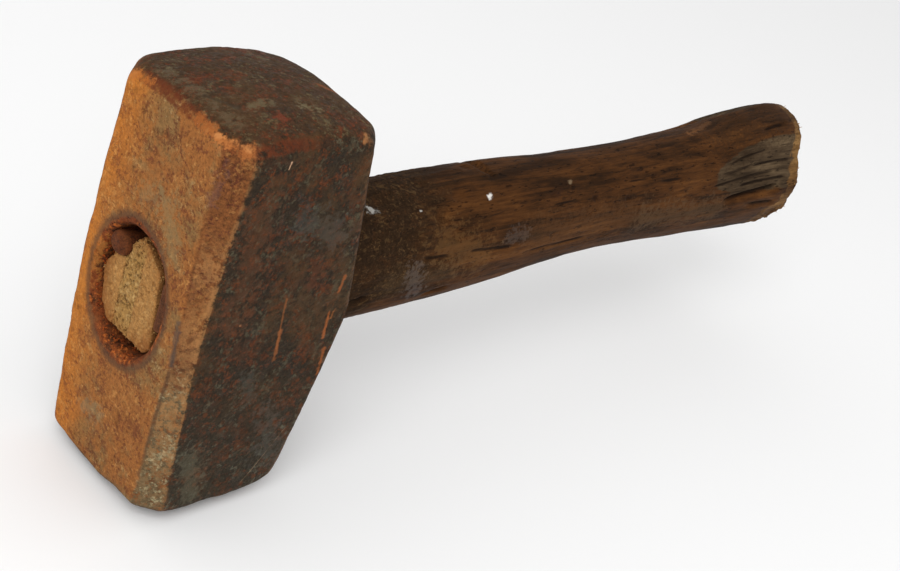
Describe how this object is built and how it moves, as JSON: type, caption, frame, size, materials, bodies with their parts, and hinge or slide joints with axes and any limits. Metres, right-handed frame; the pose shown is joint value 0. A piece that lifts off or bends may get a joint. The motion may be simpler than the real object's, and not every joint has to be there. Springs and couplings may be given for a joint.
{
  "type": "lump hammer",
  "caption": "Short-handled lump hammer: a heavy double-faced square steel head with chamfered corners, wedged onto a flared wooden handle.",
  "frame": {"origin": "on the lower striking face, straight below the centre of the eye", "axes": "+X along the handle, away from the head; +Z along the head, from the lower striking face to the upper one; +Y towards the far cheek"},
  "size_m": [0.265, 0.045, 0.104],
  "materials": {
    "head_steel": "matte",
    "handle_wood": "satin",
    "wedge_wood": "matte",
    "wedge_steel": "matte"
  },
  "bodies": {
    "root": {"head": "head_steel", "handle": "handle_wood", "wood_wedge": "wedge_wood", "steel_pin_wedge": "wedge_steel", "steel_flat_wedge": "wedge_steel"}
  },
  "joints": []
}
